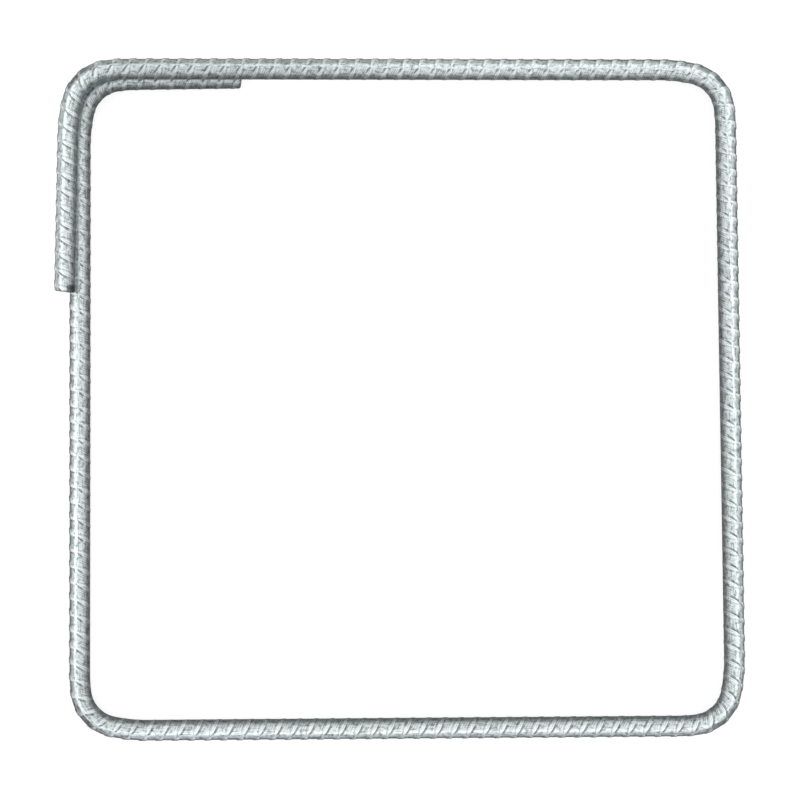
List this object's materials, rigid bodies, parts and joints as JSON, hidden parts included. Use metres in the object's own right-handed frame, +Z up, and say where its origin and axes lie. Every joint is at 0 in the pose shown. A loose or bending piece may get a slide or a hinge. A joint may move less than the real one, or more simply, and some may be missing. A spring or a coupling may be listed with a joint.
{
  "type": "rebar stirrup",
  "caption": "Square stirrup bent from one length of ribbed steel wire, with its ends lapped at one corner, that ties the bars of a concrete column or beam.",
  "frame": {"origin": "centre of the hoop's box, on the surface it lies on", "axes": "+Z up, square to the hoop's plane; +Y towards the bar that the lower end lies under; +X from the lapped side to the plain side"},
  "size_m": [0.2172, 0.2144, 0.0134],
  "materials": {
    "ribbed_wire": "bright cold-rolled"
  },
  "bodies": {
    "root": {"stirrup": "ribbed_wire"}
  },
  "joints": []
}
